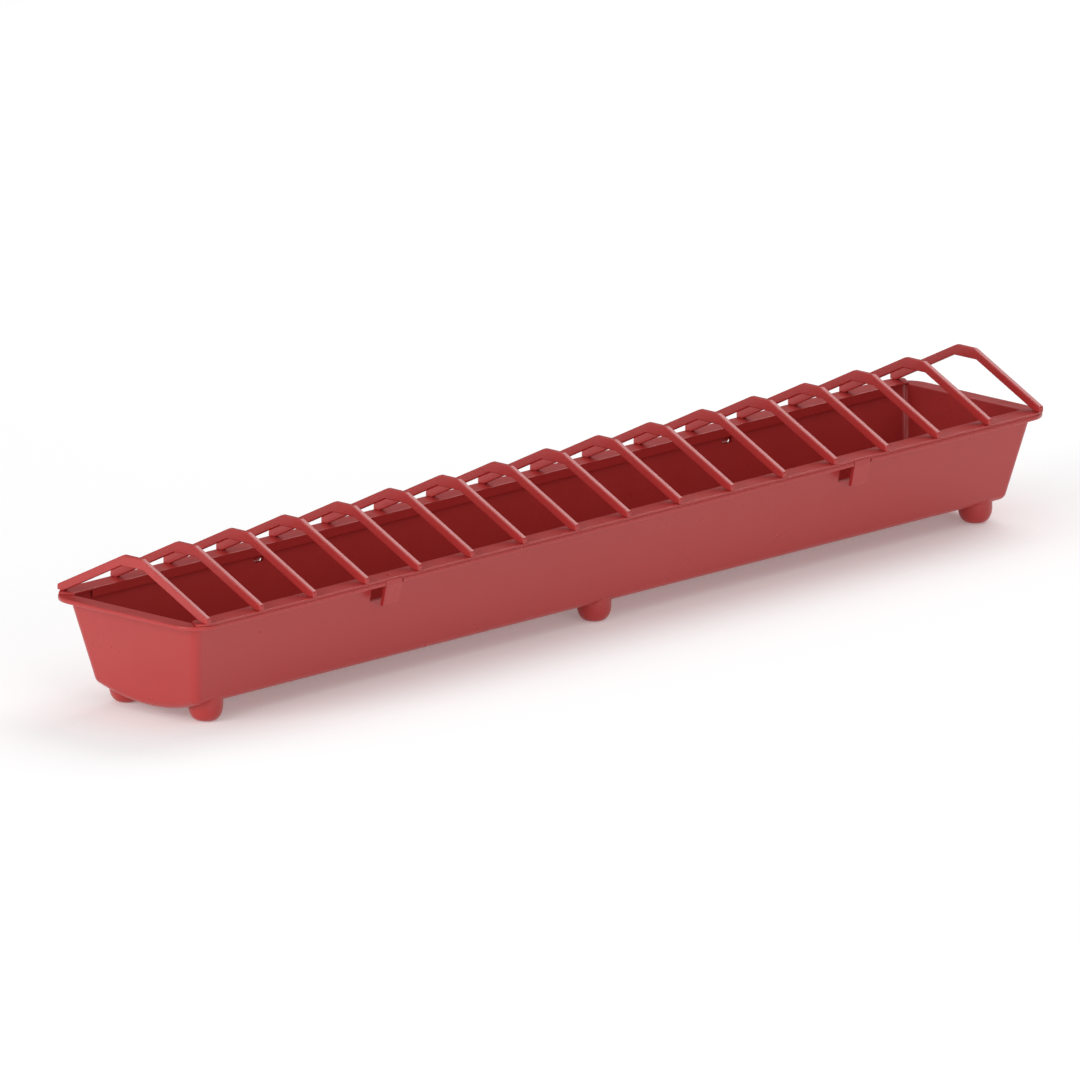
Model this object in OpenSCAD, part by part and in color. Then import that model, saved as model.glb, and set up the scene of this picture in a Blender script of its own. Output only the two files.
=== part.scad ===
// Chick feeder: a long plastic trough with a snap-on grille of arched bars.
// Frame: +X along the trough, +Y across it, +Z up. The origin is on the ground, under the middle.

/* [Trough] */
// Overall length, over the rim
length = 500; // [300:10:700]
// Overall width, over the rim
width = 84; // [76:1:110]
// Height of the rim's top face above the ground
rim_z = 44.8; // [40:0.2:55]
// Thickness of the rim flange
rim_t = 1.8; // [1.2:0.1:2.4]
// How far the flange stands out from the walls
rim_out = 6.1; // [5:0.1:7]
// Corner radius of the flange
rim_r = 12.5; // [9:0.5:16]
// Wall thickness
wall = 1.7; // [1.2:0.1:2]
// Lean of the walls from upright, in degrees
draft = 12; // [8:0.5:13]
// Height of the lowest line of the side walls
edge_z = 8; // [7:0.2:11]
// Height of the lowest line of the rounded belly
belly_z = 3.6; // [2:0.2:5]
// Outer radius where the walls turn into the belly
edge_r = 4; // [3:0.5:5]

/* [Feet] */
// Distance of the outer feet from the rim's ends
foot_end = 26; // [25:1:60]
// Distance of the feet from the middle, across the trough
foot_y = 22; // [18:0.5:22]
// Radius of a foot's flat underside
foot_flat_r = 3; // [2:0.2:4]
// Radius of a foot where it meets the trough
foot_r = 7; // [6:0.2:7.4]
// Height at which a foot has reached its full radius
foot_h = 6; // [5:0.2:7]

/* [Grille] */
// Number of arched bars
bar_n = 17; // [9:2:17]
// Distance of the end bars' middle from the rim's ends
bar_inset = 7.8; // [6:0.2:12]
// Thickness of a bar along the trough
bar_t = 2.4; // [1.6:0.1:3]
// Depth of a bar's section, in the plane of its arch
bar_d = 3.5; // [3:0.1:4]
// Depth of a bar at its ridge
ridge_d = 4.4; // [4:0.1:5]
// Height of the ridge above the rails
ridge_h = 20.4; // [14:0.2:26]
// Length of the flat top of an arch
ridge_flat = 10.4; // [6:0.2:16]
// Height of an arch's outer end above the rail
heel_h = 2.3; // [1.2:0.1:2.6]
// Distance of a rail's outer edge from the flange's edge
rail_gap = 0.3; // [0.2:0.1:0.6]
// Width of a side rail
rail_w = 9; // [9:0.1:10]
// Thickness of a side rail
rail_t = 1; // [0.8:0.1:1.6]
// Depth of the skirt that centres the grille inside the trough
skirt_h = 3; // [2:0.5:3.5]

/* [Clips] */
// Width of a clip's tab
clip_w = 9.4; // [7:0.2:11]
// Thickness of a clip's tab
clip_t = 2; // [1.6:0.1:2.4]
// Length of a clip's tab below the rail's top
clip_h = 11.5; // [10.5:0.5:12]
// Width of the catch on a clip, which snaps under the flange
catch_w = 5; // [4:0.2:6]
// Width of the window behind a front clip
window_w = 13; // [12:0.5:15]
// Height of the window behind a front clip
window_h = 7.5; // [6:0.5:9]

/* [Hidden] */
$fn = 64;
lean = tan(draft);
rail_top = rim_z + rail_t;
flange_z = rim_z - rim_t;

// Half sizes of the trough's outside just under the flange
wall_x = length / 2 - rim_out;
wall_y = width / 2 - rim_out;

// The rounding between a side wall and the belly, and the belly's rise from its middle
edge_y = wall_y - lean * (flange_z - edge_z - edge_r) - edge_r / cos(draft);
belly_rise = edge_z - belly_z;
belly_turn = atan(2 * belly_rise / edge_y);
belly_steps = 6;
edge_steps = 5;

// Middle of an end foot, and the level inside the tub's rounding where every foot ends
foot_x = length / 2 - foot_end;
foot_top_z = edge_z + edge_r;

// Arched bars
bar_pitch = (length - 2 * bar_inset) / (bar_n - 1);
heel_y = width / 2 - rail_gap;
leg_slope = (ridge_h - heel_h) / (heel_y - ridge_flat / 2);
inner_top = ridge_h - ridge_d;
inner_foot = ridge_flat / 2 + (ridge_h - bar_d / cos(atan(leg_slope))) / leg_slope;
inner_flat = inner_foot - inner_top / leg_slope;

// Rails, slanted at the inner corners of their ends, and their skirts
rail_y = heel_y - rail_w;
rail_end = length / 2 - rail_gap - 7;
corner_in = (rim_r - rail_gap) * (1 - cos(45));
skirt_t = 1;
skirt_end = 12;

// Clips, in the middle of the fourth gap from each end
clip_x = bar_pitch * ((bar_n - 1) / 2 - 3.5);
notch_gap = 0.4;
clip_z = rail_top - clip_h;
clip_lean = lean * (flange_z - clip_z);
catch_gap = 0.3;
catch_in = rim_out + wall + 0.3;
catch_tip = 1.2;
// A back window is only as large as the catch that fills it
back_window_w = catch_w + 0.6;
back_window_h = catch_gap + catch_tip + 2.6;

SIDES = [["front", -1], ["back", 1]];
ENDS = [["left", -1], ["right", 1]];
STATIONS = [["left", -1], ["middle", 0], ["right", 1]];
BARS = [for (i = [1:bar_n]) str("bar_", i < 10 ? "0" : "", i)];
FEET = [for (s = SIDES, e = STATIONS) str("foot_", s[0], "_", e[0])];
RAILS = [for (s = SIDES) str("rail_", s[0])];
CLIPS = [for (s = SIDES, e = ENDS) str("clip_", s[0], "_", e[0])];

// A flat plate with round corners, standing on z = 0
module rounded_plate(l, w, r, h) {
    linear_extrude(h) {
        square([l - 2 * r, w], center = true);
        square([l, w - 2 * r], center = true);
        for (x = [-1, 1], y = [-1, 1])
            translate([x * (l / 2 - r), y * (w / 2 - r)])
                circle(r);
    }
}

// Half outline of the tub across its length, set in by inset, from the top down to the belly
function half_section(inset, top_z) = concat(
    [[wall_y - inset / cos(draft), top_z], [wall_y - inset / cos(draft), flange_z]],
    [for (i = [0:edge_steps]) edge_point(edge_r - inset, draft + (90 - belly_turn - draft) * i / edge_steps)],
    [for (i = [belly_steps - 1:-1:0]) belly_point(edge_r - inset, i / belly_steps)]
);

// A point on the rounding of radius r, at an angle below the horizontal
function edge_point(r, angle) = [edge_y + r * cos(angle), edge_z + edge_r - r * sin(angle)];

// A point on the belly: a parabola of rounding centres, lowered by r square to its slope
function belly_point(r, t) =
    let (turn = atan(2 * belly_rise * t / edge_y))
    [edge_y * t + r * sin(turn), belly_z + belly_rise * t * t + edge_r - r * cos(turn)];

// A closed outline from its right half, whose last point may lie on the middle line
function mirrored(half) = concat(
    half,
    [for (i = [len(half) - 1:-1:0]) if (half[i][0] > 0) [-half[i][0], half[i][1]]]
);

// The tub's outside, or its hollow when inset is the wall's thickness
module tub(inset, top_z) {
    end_x = wall_x - inset / cos(draft);
    long_half = [[end_x, top_z], [end_x, flange_z], [end_x - lean * flange_z, 0]];
    intersection() {
        rotate([90, 0, 90])
            linear_extrude(length, center = true)
                polygon(mirrored(half_section(inset, top_z)));
        rotate([90, 0, 0])
            linear_extrude(width, center = true)
                polygon(mirrored(long_half));
    }
}

// A block at a clip: w wide, from u0 to u1 inwards of the rim's edge, and from z0 to z1
module at_clip(side, end, w, u0, u1, z0, z1) {
    translate([end * clip_x - w / 2, side > 0 ? width / 2 - u1 : u0 - width / 2, z0])
        cube([w, u1 - u0, z1 - z0]);
}

module trough() {
    color("#b3403d")
        difference() {
            union() {
                tub(0, rim_z);
                translate([0, 0, flange_z])
                    rounded_plate(length, width, rim_r, rim_t);
            }
            tub(wall, rim_z + 1);
            for (s = SIDES, e = ENDS) {
                at_clip(s[1], e[1], s[1] < 0 ? window_w : back_window_w,
                        rim_out - 0.5, rim_out + 6,
                        flange_z - (s[1] < 0 ? window_h : back_window_h), flange_z);
                at_clip(s[1], e[1], clip_w + 2 * notch_gap, -1, clip_t + notch_gap,
                        flange_z - 1, rim_z + 1);
            }
        }
}

// A round foot, trimmed to the belly that it stands under
module foot(side, station) {
    outline = [for (a = [0:10:90]) [foot_flat_r + (foot_r - foot_flat_r) * sin(a), foot_h * (1 - cos(a))]];
    color("#a83b39")
        difference() {
            translate([station * foot_x, side * foot_y, 0])
                rotate_extrude()
                    polygon(concat([[0, 0]], outline, [[foot_r, foot_top_z], [0, foot_top_z]]));
            tub(0, rim_z);
        }
}

// A side rail: a flat strip on the flange, with a skirt just inside the trough
module rail(side) {
    color("#c24c49") {
        intersection() {
            translate([0, 0, rim_z])
                rounded_plate(length - 2 * rail_gap, width - 2 * rail_gap, rim_r - rail_gap, rail_t);
            mirror([0, side > 0 ? 0 : 1, 0])
                translate([0, 0, rim_z])
                    linear_extrude(rail_t)
                        polygon(mirrored([
                            [rail_end, rail_y],
                            [length / 2 - rail_gap - corner_in, heel_y - corner_in],
                            [length / 2, heel_y],
                        ]));
        }
        for (e = ENDS)
            at_clip(side, e[1], clip_w, 0, 2 * rail_gap, rim_z, rail_top);
        skirt_y = side > 0 ? heel_y - rail_w : rail_w - heel_y - skirt_t;
        translate([skirt_end - wall_x, skirt_y, rim_z - skirt_h])
            cube([2 * (wall_x - skirt_end), skirt_t, skirt_h]);
    }
}

// An arched bar across the trough, standing on both rails
module bar(i) {
    half = [
        [inner_flat, inner_top], [inner_foot, 0],
        [heel_y, 0], [heel_y, heel_h], [ridge_flat / 2, ridge_h],
    ];
    color("#cc5552")
        intersection() {
            translate([bar_pitch * (i - (bar_n + 1) / 2) - bar_t / 2, 0, rail_top])
                rotate([90, 0, 90])
                    linear_extrude(bar_t)
                        polygon(mirrored(half));
            translate([0, 0, rail_top])
                rounded_plate(length - 2 * rail_gap, width - 2 * rail_gap, rim_r - rail_gap, ridge_h);
        }
}

// A snap clip: a tab through the flange's notch, with a catch that reaches into the window
module clip(side, end) {
    tab = [
        [0, rim_z], [0, flange_z], [clip_lean, clip_z + 0.6], [clip_lean + 0.6, clip_z],
        [clip_lean + clip_t, clip_z], [clip_t, flange_z], [clip_t, rim_z],
    ];
    catch_top = flange_z - catch_gap;
    catch = [
        [clip_t, catch_top], [catch_in, catch_top], [catch_in, catch_top - catch_tip],
        [clip_lean + clip_t, clip_z], [clip_lean + clip_t / 2, clip_z],
    ];
    color("#c24c49")
        translate([end * clip_x, side * width / 2, 0])
            mirror([0, side > 0 ? 1 : 0, 0]) {
                clip_slice(clip_w) polygon(tab);
                clip_slice(catch_w) polygon(catch);
            }
}

// Extrudes an outline of (distance inwards, height) to a slice w wide
module clip_slice(w) {
    translate([-w / 2, 0, 0])
        rotate([90, 0, 90])
            linear_extrude(w)
                children();
}

trough();
for (s = SIDES, e = STATIONS)
    foot(s[1], e[1]);
for (s = SIDES)
    rail(s[1]);
for (i = [1:bar_n])
    bar(i);
for (s = SIDES, e = ENDS)
    clip(s[1], e[1]);
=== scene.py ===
import math

import bpy
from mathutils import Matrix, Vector


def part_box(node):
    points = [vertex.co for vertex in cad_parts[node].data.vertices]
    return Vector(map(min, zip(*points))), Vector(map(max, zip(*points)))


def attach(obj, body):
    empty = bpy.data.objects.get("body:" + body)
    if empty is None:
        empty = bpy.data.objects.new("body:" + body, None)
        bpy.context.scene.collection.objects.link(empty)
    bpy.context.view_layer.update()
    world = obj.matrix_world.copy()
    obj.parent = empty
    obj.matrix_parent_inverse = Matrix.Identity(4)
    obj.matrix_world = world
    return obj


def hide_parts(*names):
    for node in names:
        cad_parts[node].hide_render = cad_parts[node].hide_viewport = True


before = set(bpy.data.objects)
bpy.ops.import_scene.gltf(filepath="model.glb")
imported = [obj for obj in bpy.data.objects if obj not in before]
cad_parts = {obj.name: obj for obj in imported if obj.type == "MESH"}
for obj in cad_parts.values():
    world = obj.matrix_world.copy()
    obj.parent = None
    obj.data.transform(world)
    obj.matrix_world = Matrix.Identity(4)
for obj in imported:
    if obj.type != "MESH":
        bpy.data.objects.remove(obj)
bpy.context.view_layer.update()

# Sizes in millimetres, the same as the CAD model's
MM = 0.001
TROUGH_LO, TROUGH_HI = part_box("trough")
LENGTH = (TROUGH_HI[0] - TROUGH_LO[0]) / MM
WIDTH = (TROUGH_HI[1] - TROUGH_LO[1]) / MM
RIM_Z = TROUGH_HI[2] / MM
RIM_T, RIM_OUT, RIM_R = 1.8, 6.1, 12.5
WALL = 1.7
DRAFT = math.radians(12)
EDGE_Z, BELLY_Z, EDGE_R = 8.0, 3.6, 4.0
FOOT_Y, FOOT_FLAT_R, FOOT_R, FOOT_H = 22.0, 3.0, 7.0, 6.0
BAR_T, BAR_D, RIDGE_D = 2.4, 3.5, 4.4
RIDGE_H, RIDGE_FLAT, HEEL_H = 20.4, 10.4, 2.3
RAIL_GAP, RAIL_W, RAIL_T, RAIL_SLANT = 0.3, 9.0, 1.0, 7.0
SKIRT_H, SKIRT_T, SKIRT_END = 3.0, 1.0, 12.0
CLIP_W, CLIP_T, CLIP_H, NOTCH_GAP = 9.4, 2.0, 11.5, 0.4
CATCH_W, CATCH_GAP, CATCH_TIP = 5.0, 0.3, 1.2
# Half width and height of the windows behind the clips
FRONT_WINDOW, BACK_WINDOW = (6.5, 7.5), (2.8, 4.1)

# How far the visible edges are rounded, which the CAD model leaves sharp
RIM_EDGE, MOUTH_EDGE, UNDER_RIM = 0.5, 0.6, 1.2
RAIL_EDGE, SKIRT_EDGE, BAR_EDGE = 0.25, 0.3, 0.45
CLIP_EDGE, CATCH_EDGE, WINDOW_EDGE = 0.35, 0.25, 0.6

LEAN = math.tan(DRAFT)
RAIL_TOP = RIM_Z + RAIL_T
FLANGE_Z = RIM_Z - RIM_T
WALL_X, WALL_Y = LENGTH / 2 - RIM_OUT, WIDTH / 2 - RIM_OUT
EDGE_Y = WALL_Y - LEAN * (FLANGE_Z - EDGE_Z - EDGE_R) - EDGE_R / math.cos(DRAFT)
BELLY_RISE = EDGE_Z - BELLY_Z
BELLY_TURN = math.atan(2 * BELLY_RISE / EDGE_Y)
HEEL_Y = WIDTH / 2 - RAIL_GAP
CLIP_Z = RAIL_TOP - CLIP_H
CLIP_LEAN = LEAN * (FLANGE_Z - CLIP_Z)
CATCH_IN = RIM_OUT + WALL + 0.3

SIDES = (("front", -1), ("back", 1))
ENDS = ("left", "right")
STATIONS = ("left", "middle", "right")
BARS = 17


def middle(node, axis):
    """The middle of a CAD node's box along one axis, in millimetres."""
    lo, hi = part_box(node)
    return (lo[axis] + hi[axis]) / 2 / MM


# ---------------------------------------------------------------- meshes

def make_object(name, verts, faces):
    """A closed mesh from millimetres, with its faces turned outwards."""
    mesh = bpy.data.meshes.new(name)
    mesh.from_pydata([(x * MM, y * MM, z * MM) for x, y, z in verts], [], faces)
    mesh.validate()
    obj = bpy.data.objects.new(name, mesh)
    bpy.context.scene.collection.objects.link(obj)
    turn_outwards(mesh)
    return obj


def turn_outwards(mesh):
    """Flips a closed mesh that is inside out, which shows as a negative volume."""
    volume = 0.0
    mesh.calc_loop_triangles()
    for tri in mesh.loop_triangles:
        a, b, c = (mesh.vertices[i].co for i in tri.vertices)
        volume += a.dot(b.cross(c))
    if volume < 0:
        mesh.flip_normals()


def loft(name, rings):
    """A closed solid through rings of the same number of points, capped at both ends."""
    count = len(rings[0])
    verts = [p for ring in rings for p in ring]
    faces = []
    for k in range(len(rings) - 1):
        a, b = k * count, (k + 1) * count
        for i in range(count):
            j = (i + 1) % count
            faces.append((a + i, a + j, b + j, b + i))
    faces.append(tuple(reversed(range(count))))
    faces.append(tuple(range((len(rings) - 1) * count, len(rings) * count)))
    return make_object(name, verts, faces)


def combine(target, others, operation):
    """Cuts the other solids out of the target, or joins them to it, and removes them."""
    for other in others:
        mod = target.modifiers.new("combine", "BOOLEAN")
        mod.operation = operation
        mod.solver = "EXACT"
        mod.object = other
        graph = bpy.context.evaluated_depsgraph_get()
        graph.update()
        mesh = bpy.data.meshes.new_from_object(target.evaluated_get(graph))
        target.modifiers.clear()
        old = target.data
        target.data = mesh
        mesh.name = target.name
        bpy.data.meshes.remove(old)
    for other in others:
        spare = other.data
        bpy.data.objects.remove(other)
        bpy.data.meshes.remove(spare)


def rounded_rect(half_x, half_y, radius, z, steps=10):
    """A ring of points round a rectangle with round corners."""
    ring = []
    corners = ((1, 1, 0), (-1, 1, 90), (-1, -1, 180), (1, -1, 270))
    for sx, sy, start in corners:
        cx, cy = sx * (half_x - radius), sy * (half_y - radius)
        for i in range(steps + 1):
            a = math.radians(start + 90 * i / steps)
            ring.append((cx + radius * math.cos(a), cy + radius * math.sin(a), z))
    return ring


def round_corners(points, radii, steps=5):
    """The outline with its corners rounded, each to its own radius."""
    out = []
    count = len(points)
    for i, point in enumerate(points):
        p = Vector(point)
        to_prev = (Vector(points[i - 1]) - p).normalized()
        to_next = (Vector(points[(i + 1) % count]) - p).normalized()
        half = math.acos(max(-1.0, min(1.0, to_prev.dot(to_next)))) / 2
        radius = radii[i]
        if radius <= 0 or abs(half - math.pi / 2) < 0.01:
            out.append(tuple(p))
            continue
        reach = radius / math.tan(half)
        centre = p + (to_prev + to_next).normalized() * radius / math.sin(half)
        start = p + to_prev * reach - centre
        end = p + to_next * reach - centre
        turn = start.angle_signed(end)
        for k in range(steps + 1):
            a = -turn * k / steps
            out.append((centre.x + start.x * math.cos(a) - start.y * math.sin(a),
                        centre.y + start.x * math.sin(a) + start.y * math.cos(a)))
    return out


def inset_outline(points, depth):
    """The outline moved inwards by depth; the points go anticlockwise."""
    out = []
    count = len(points)
    for i in range(count):
        a, b, c = (Vector(points[(i + k) % count]) for k in (-1, 0, 1))
        before, after = (b - a).normalized(), (c - b).normalized()
        n1, n2 = Vector((-before.y, before.x)), Vector((-after.y, after.x))
        bisector = (n1 + n2).normalized()
        out.append(tuple(b + bisector * depth / max(0.5, bisector.dot(n1))))
    return out


def area(points):
    """The outline's area, which is negative when its points go clockwise."""
    return sum(p[0] * q[1] - q[0] * p[1] for p, q in zip(points, points[1:] + points[:1])) / 2


def quarter_round(radius, steps):
    """Steps round an edge: the inset of the outline, and the depth below the end face."""
    turns = [math.pi / 2 * k / steps for k in range(steps + 1)]
    return [(radius * (1 - math.sin(a)), radius * (1 - math.cos(a))) for a in turns]


def prism(name, points, start, end, edge, place, steps=4):
    """An outline drawn out from start to end, edges rounded. place(u, v, w) gives x, y, z."""
    if area(points) < 0:
        points = list(reversed(points))
    levels = quarter_round(edge, steps)
    rings = []
    for inset, depth in levels:
        ring = inset_outline(points, inset)
        rings.append([place(u, v, start + depth) for u, v in ring])
    for inset, depth in reversed(levels):
        ring = inset_outline(points, inset)
        rings.append([place(u, v, end - depth) for u, v in ring])
    return loft(name, rings)


# ---------------------------------------------------------------- the trough

def half_section(inset, top):
    """Half of the tub's section: points and outward normals, from the top to the middle."""
    radius = EDGE_R - inset
    wall_n = (math.cos(DRAFT), -math.sin(DRAFT))
    y_top = WALL_Y - inset / math.cos(DRAFT) + LEAN * (top - FLANGE_Z)
    rows = [((y_top, top), wall_n)]
    steps = 10
    for i in range(steps + 1):
        a = DRAFT + (math.pi / 2 - BELLY_TURN - DRAFT) * i / steps
        n = (math.cos(a), -math.sin(a))
        rows.append(((EDGE_Y + radius * n[0], EDGE_Z + EDGE_R + radius * n[1]), n))
    steps = 16
    for i in range(steps - 1, -1, -1):
        t = i / steps
        a = math.atan(2 * BELLY_RISE * t / EDGE_Y)
        n = (math.sin(a), -math.cos(a))
        rows.append(((EDGE_Y * t + radius * n[0],
                      BELLY_Z + BELLY_RISE * t * t + EDGE_R + radius * n[1]), n))
    return rows


def tub(name, inset, top):
    """The tub's outside, or its hollow: walls, belly and both ends with round edges."""
    half = half_section(inset, top)
    section = half + [((-y, z), (-ny, nz)) for (y, z), (ny, nz) in reversed(half[:-1])]
    radius = EDGE_R - inset
    steps = 8
    end_n = Vector((math.cos(DRAFT), 0, -math.sin(DRAFT)))
    rings = []
    for sign in (-1, 1):
        arcs = []
        for k in range(steps + 1):
            ring = []
            for (y, z), (ny, nz) in section:
                side_n = Vector((0, ny, nz))
                cy, cz = y - radius * ny, z - radius * nz
                cx = WALL_X - LEAN * (FLANGE_Z - cz) - (inset + radius) / math.cos(DRAFT)
                n = side_n.slerp(end_n, k / steps) * radius
                ring.append((sign * (cx + n.x), cy + n.y, cz + n.z))
            first, last = ring[0], ring[-1]
            ring = [(first[0], first[1], top + 1)] + ring + [(last[0], last[1], top + 1)]
            arcs.append(ring)
        rings += list(reversed(arcs)) if sign < 0 else arcs
    return loft(name, rings)


def slab(name, x, half, y0, y1, z0, z1, radius=0.0):
    """A box across a side wall, with its edges along Y rounded."""
    corners = [(x - half, z0), (x + half, z0), (x + half, z1), (x - half, z1)]
    outline = round_corners(corners, [radius] * 4)
    return loft(name, [[(u, y, v) for u, v in outline] for y in sorted((y0, y1))])


def rim_flange():
    """The flat rim round the tub, with its outer edges rounded."""
    levels = quarter_round(RIM_EDGE, 4)
    rings = [(inset, FLANGE_Z + depth) for inset, depth in levels]
    rings += [(inset, RIM_Z - depth) for inset, depth in reversed(levels)]
    return loft("flange", [
        rounded_rect(LENGTH / 2 - inset, WIDTH / 2 - inset, RIM_R - inset, z)
        for inset, z in rings])


def under_flange():
    """The fillet between the walls and the underside of the flange."""
    rings = []
    for k in range(7):
        a = math.pi / 2 * k / 6
        z = FLANGE_Z - UNDER_RIM * (1 - math.sin(a))
        out = UNDER_RIM * (1 - math.cos(a)) - LEAN * (FLANGE_Z - z) - 0.02
        rings.append(rounded_rect(WALL_X + out, WALL_Y + out, EDGE_R + out, z))
    rings.append(rounded_rect(WALL_X + UNDER_RIM, WALL_Y + UNDER_RIM, EDGE_R + UNDER_RIM,
                              FLANGE_Z + 0.5))
    return loft("under_flange", rings)


def mouth_cut():
    """What is cut away to round the rim of the tub's mouth."""
    wall_in = WALL / math.cos(DRAFT) - LEAN * (RIM_T - MOUTH_EDGE)
    rings = []
    for k in range(6):
        a = math.pi / 2 * k / 5
        rise = MOUTH_EDGE * (1 - math.cos(a))
        z = RIM_Z - MOUTH_EDGE * (1 - math.sin(a))
        rings.append((WALL_X - wall_in + rise, WALL_Y - wall_in + rise,
                      EDGE_R - WALL + 0.4 + rise, z))
    rings.append(rings[-1][:3] + (RIM_Z + 1,))
    return loft("mouth", [rounded_rect(*ring) for ring in rings])


def clip_cuts(side, s):
    """The window and the notch for each clip on one side."""
    cuts = []
    half, height = FRONT_WINDOW if s < 0 else BACK_WINDOW
    for end in ENDS:
        x = middle("clip_%s_%s" % (side, end), 0)
        cuts.append(slab("window", x, half, s * (WALL_Y + 0.5), s * (WALL_Y - 6),
                         FLANGE_Z - height, FLANGE_Z, WINDOW_EDGE))
        cuts.append(slab("notch", x, CLIP_W / 2 + NOTCH_GAP, s * (WIDTH / 2 + 1),
                         s * (WIDTH / 2 - CLIP_T - NOTCH_GAP), FLANGE_Z - 1, RIM_Z + 1))
    return cuts


def build_trough():
    """The tub with its flange, hollowed out and cut for the clips."""
    shell = tub("trough_shell", 0, FLANGE_Z + 0.6)
    combine(shell, [rim_flange(), under_flange()], "UNION")
    cuts = [tub("hollow", WALL, RIM_Z + 0.5), mouth_cut()]
    for side, s in SIDES:
        cuts += clip_cuts(side, s)
    combine(shell, cuts, "DIFFERENCE")
    return shell


def build_foot(name, x, y):
    """A round foot with a soft underside, cut to the belly above it."""
    outline = [(0.02, 0.0)]
    steps = 12
    for k in range(steps + 1):
        a = math.pi / 2 * k / steps
        outline.append((FOOT_FLAT_R + (FOOT_R - FOOT_FLAT_R) * math.sin(a),
                        FOOT_H * (1 - math.cos(a))))
    outline.append((FOOT_R, EDGE_Z + EDGE_R))
    count = 56
    turns = [2 * math.pi * i / count for i in range(count)]
    rings = [[(x + r * math.cos(a), y + r * math.sin(a), z) for a in turns] for r, z in outline]
    foot = loft(name, rings)
    combine(foot, [tub("belly", 0.25, RIM_Z)], "DIFFERENCE")
    return foot


# ---------------------------------------------------------------- the grille

def build_rail(name, s):
    """A side rail, slanted at the inner corners of its ends, with its skirt."""
    radius = RIM_R - RAIL_GAP
    half_x, half_y = LENGTH / 2 - RAIL_GAP, WIDTH / 2 - RAIL_GAP
    right = [(half_x - RAIL_SLANT, half_y - RAIL_W)]
    for k in range(9):
        a = math.pi / 4 * (1 + k / 8)
        right.append((half_x - radius + radius * math.cos(a),
                      half_y - radius + radius * math.sin(a)))
    outline = right + [(-x, y) for x, y in reversed(right)]
    rail = prism(name, outline, RIM_Z, RAIL_TOP, RAIL_EDGE, lambda u, v, w: (u, s * v, w))
    skirt_half = WALL_X - SKIRT_END
    inner = HEEL_Y - RAIL_W
    section = round_corners(
        [(inner, RIM_Z + 0.5), (inner + SKIRT_T, RIM_Z + 0.5),
         (inner + SKIRT_T, RIM_Z - SKIRT_H), (inner, RIM_Z - SKIRT_H)],
        [0, 0, 0.4, 0.4])
    skirt = prism("skirt", section, -skirt_half, skirt_half, SKIRT_EDGE,
                  lambda u, v, w: (w, s * u, v))
    combine(rail, [skirt], "UNION")
    return rail


def build_bar(name, x):
    """An arched bar across the trough, with softened edges."""
    slope = (RIDGE_H - HEEL_H) / (HEEL_Y - RIDGE_FLAT / 2)
    inner_top = RIDGE_H - RIDGE_D
    inner_foot = RIDGE_FLAT / 2 + (RIDGE_H - BAR_D / math.cos(math.atan(slope))) / slope
    inner_flat = inner_foot - inner_top / slope
    right = [(inner_foot, 0), (HEEL_Y, 0), (HEEL_Y, HEEL_H), (RIDGE_FLAT / 2, RIDGE_H)]
    radii = [0.0, 0.0, 0.8, 2.5]
    left = [(-u, v) for u, v in reversed(right)]
    points = right + left + [(-inner_flat, inner_top), (inner_flat, inner_top)]
    outline = round_corners(points, radii + list(reversed(radii)) + [1.2, 1.2])
    return prism(name, outline, x - BAR_T / 2, x + BAR_T / 2, BAR_EDGE,
                 lambda u, v, w: (w, u, RAIL_TOP + v))


def build_clip(name, s, x):
    """A clip: a tab down through the flange's notch, and a catch into the window."""
    def place(u, v, w):
        return (x + w, s * (WIDTH / 2 - u), v)

    tab = round_corners(
        [(0, RIM_Z + 0.3), (0, FLANGE_Z), (CLIP_LEAN, CLIP_Z), (CLIP_LEAN + CLIP_T, CLIP_Z),
         (CLIP_T, FLANGE_Z), (CLIP_T, RIM_Z + 0.3)],
        [0, 3, 0.7, 0.7, 3, 0])
    clip = prism(name, tab, -CLIP_W / 2, CLIP_W / 2, CLIP_EDGE, place)
    top = FLANGE_Z - CATCH_GAP
    catch = round_corners(
        [(CLIP_T - 0.5, top), (CATCH_IN, top), (CATCH_IN, top - CATCH_TIP),
         (CLIP_LEAN + CLIP_T, CLIP_Z + 0.3), (CLIP_LEAN + CLIP_T - 0.8, CLIP_Z + 0.3)],
        [0, 0.4, 0.4, 0.3, 0])
    hook = prism("catch", catch, -CATCH_W / 2, CATCH_W / 2, CATCH_EDGE, place)
    combine(clip, [hook], "UNION")
    return clip


# ---------------------------------------------------------------- materials

def colour_ramp(nodes, low, high):
    """A ramp between two stops, each a position and a colour."""
    ramp = nodes.new("ShaderNodeValToRGB")
    for stop, (position, colour) in zip(ramp.color_ramp.elements, (low, high)):
        stop.position, stop.color = position, colour
    return ramp


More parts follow.
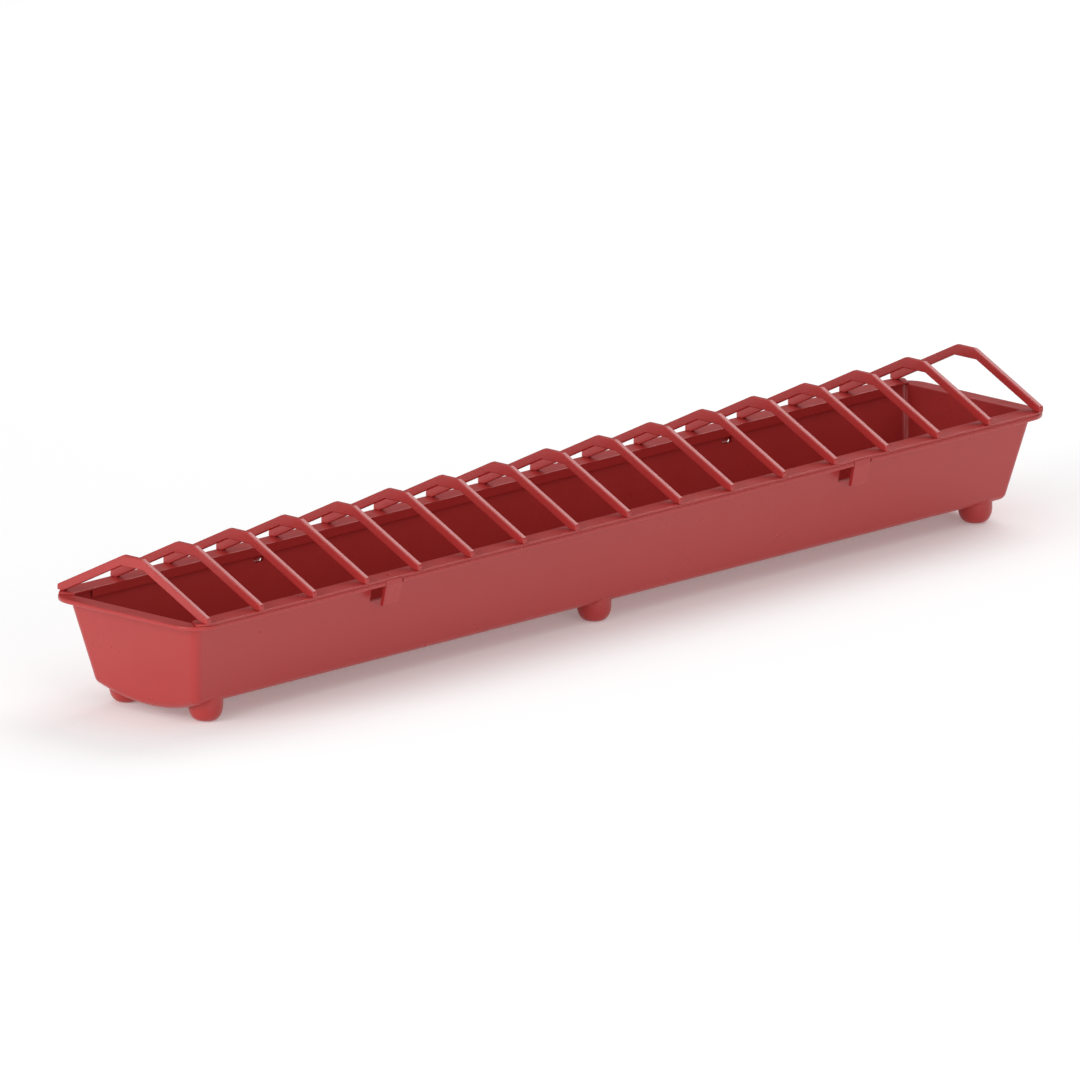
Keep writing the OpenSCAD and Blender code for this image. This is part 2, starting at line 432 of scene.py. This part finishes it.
def plastic(name, colour, roughness):
    """Moulded polypropylene: a satin skin with a fine grain, flow marks and slight waves."""
    mat = bpy.data.materials.new(name)
    mat.use_nodes = True
    nodes, links = mat.node_tree.nodes, mat.node_tree.links
    shader = nodes["Principled BSDF"]
    shader.inputs["IOR"].default_value = 1.49
    where = nodes.new("ShaderNodeTexCoord")

    def noise(scale, detail, stretch=(1, 1, 1)):
        mapping = nodes.new("ShaderNodeMapping")
        mapping.inputs["Scale"].default_value = stretch
        links.new(where.outputs["Object"], mapping.inputs["Vector"])
        tex = nodes.new("ShaderNodeTexNoise")
        tex.inputs["Scale"].default_value = scale
        tex.inputs["Detail"].default_value = detail
        links.new(mapping.outputs["Vector"], tex.inputs["Vector"])
        return tex.outputs["Fac"]

    def span(value, low, high):
        node = nodes.new("ShaderNodeMapRange")
        node.inputs["From Min"].default_value = 0.3
        node.inputs["From Max"].default_value = 0.7
        node.inputs["To Min"].default_value = low
        node.inputs["To Max"].default_value = high
        links.new(value, node.inputs["Value"])
        return node.outputs["Result"]

    darker = tuple(c * 0.97 for c in colour) + (1,)
    lighter = tuple(c * 1.03 for c in colour) + (1,)
    flow = colour_ramp(nodes, (0.32, darker), (0.68, lighter))
    links.new(noise(14, 4, (0.35, 1.6, 1.0)), flow.inputs["Fac"])
    links.new(flow.outputs["Color"], shader.inputs["Base Color"])
    links.new(span(noise(90, 5), roughness - 0.04, roughness + 0.05), shader.inputs["Roughness"])

    grain = nodes.new("ShaderNodeBump")
    grain.inputs["Strength"].default_value = 0.12
    grain.inputs["Distance"].default_value = 0.00012
    links.new(noise(2600, 3), grain.inputs["Height"])
    waves = nodes.new("ShaderNodeBump")
    waves.inputs["Strength"].default_value = 0.08
    waves.inputs["Distance"].default_value = 0.0004
    links.new(noise(30, 2, (0.5, 1, 1)), waves.inputs["Height"])
    links.new(grain.outputs["Normal"], waves.inputs["Normal"])
    links.new(waves.outputs["Normal"], shader.inputs["Normal"])
    return mat


def pale_floor():
    """A matt pale floor with a faint glow, which keeps it near white under the soft light."""
    mat = bpy.data.materials.new("studio_floor")
    mat.use_nodes = True
    nodes, links = mat.node_tree.nodes, mat.node_tree.links
    shader = nodes["Principled BSDF"]
    shader.inputs["Roughness"].default_value = 0.9
    shader.inputs["Specular IOR Level"].default_value = 0.0
    shader.inputs["Emission Color"].default_value = (1, 1, 1, 1)
    shader.inputs["Emission Strength"].default_value = 0.2
    tex = nodes.new("ShaderNodeTexNoise")
    tex.inputs["Scale"].default_value = 3.0
    ramp = colour_ramp(nodes, (0.0, (0.88, 0.88, 0.88, 1)), (1.0, (0.90, 0.90, 0.90, 1)))
    links.new(tex.outputs["Fac"], ramp.inputs["Fac"])
    links.new(ramp.outputs["Color"], shader.inputs["Base Color"])
    return mat


def finish_piece(obj, node, body, mat):
    """Gives a piece its shading and material, and puts it in the place of its CAD node."""
    obj.name = obj.data.name = node + "_skin"
    obj.data.materials.clear()
    obj.data.materials.append(mat)
    obj.data.shade_smooth()
    obj.data.set_sharp_from_angle(angle=math.radians(32))
    normals = obj.modifiers.new("normals", "WEIGHTED_NORMAL")
    normals.keep_sharp = True
    normals.weight = 80
    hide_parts(node)
    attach(obj, body)


RED = (0.43, 0.035, 0.033)
trough_mat = plastic("trough_polypropylene", RED, 0.31)
grille_mat = plastic("grille_polypropylene", RED, 0.31)

finish_piece(build_trough(), "trough", "trough", trough_mat)
for side, s in SIDES:
    for station in STATIONS:
        node = "foot_%s_%s" % (side, station)
        foot = build_foot(node, middle(node, 0), s * FOOT_Y)
        finish_piece(foot, node, "trough", trough_mat)
    node = "rail_" + side
    finish_piece(build_rail(node, s), node, "grille", grille_mat)
    for end in ENDS:
        node = "clip_%s_%s" % (side, end)
        clip = build_clip(node, s, middle(node, 0))
        finish_piece(clip, node, "grille", grille_mat)
for i in range(1, BARS + 1):
    node = "bar_%02d" % i
    bar = build_bar(node, middle(node, 0))
    finish_piece(bar, node, "grille", grille_mat)

# ---------------------------------------------------------------- studio

SKY = 0.64
FLOOR_REACH = 14.0
scene = bpy.context.scene
scene.view_settings.view_transform = "Standard"
scene.view_settings.look = "None"

floor_mesh = bpy.data.meshes.new("studio_floor")
corners = [(x * FLOOR_REACH, y * FLOOR_REACH, 0) for x, y in ((-1, -1), (1, -1), (1, 1), (-1, 1))]
floor_mesh.from_pydata(corners, [], [(0, 1, 2, 3)])
floor = bpy.data.objects.new("studio_floor", floor_mesh)
floor.location.z = -0.0002
scene.collection.objects.link(floor)
floor_mesh.materials.append(pale_floor())

world = bpy.data.worlds.new("studio")
scene.world = world
world.use_nodes = True
sky, links = world.node_tree.nodes, world.node_tree.links
background = sky["Background"]
background.inputs["Strength"].default_value = SKY
where = sky.new("ShaderNodeTexCoord")
split = sky.new("ShaderNodeSeparateXYZ")
links.new(where.outputs["Generated"], split.inputs["Vector"])
dome = colour_ramp(sky, (0.3, (0.13, 0.13, 0.13, 1)), (0.62, (1, 1, 1, 1)))
links.new(split.outputs["Z"], dome.inputs["Fac"])
links.new(dome.outputs["Color"], background.inputs["Color"])


def softbox(name, place, width, height, watts):
    """A rectangular soft light at a place, turned to the middle of the floor."""
    light = bpy.data.lights.new(name, "AREA")
    light.shape = "RECTANGLE"
    light.size, light.size_y = width, height
    light.energy = watts
    obj = bpy.data.objects.new(name, light)
    obj.location = place
    obj.rotation_mode = "QUATERNION"
    obj.rotation_quaternion = (-Vector(place)).to_track_quat("-Z", "Y")
    scene.collection.objects.link(obj)


softbox("side", (-1.9, 0.1, 0.6), 1.2, 1.0, 19)
softbox("front", (-0.6, -1.9, 0.5), 1.2, 0.8, 8.5)
softbox("rim", (1.3, 0.35, 1.27), 1.2, 1.2, 12)

# ---------------------------------------------------------------- camera

AZIMUTH, ELEVATION = math.radians(-46.288), math.radians(14.111)
LENS, SENSOR, FIELD = 1400.0, 36.0, 0.4341
AIM = Vector((-0.00782, 0.00055, 0.03043))
distance = LENS * FIELD / SENSOR
back = Vector((math.sin(AZIMUTH) * math.cos(ELEVATION),
               -math.cos(AZIMUTH) * math.cos(ELEVATION),
               math.sin(ELEVATION)))
camera_data = bpy.data.cameras.new("camera")
camera_data.lens = LENS
camera_data.sensor_width = SENSOR
camera_data.clip_start, camera_data.clip_end = 0.5, 60.0
camera = bpy.data.objects.new("camera", camera_data)
camera.location = AIM + back * distance
camera.rotation_mode = "QUATERNION"
camera.rotation_quaternion = (-back).to_track_quat("-Z", "Y")
scene.collection.objects.link(camera)
scene.camera = camera
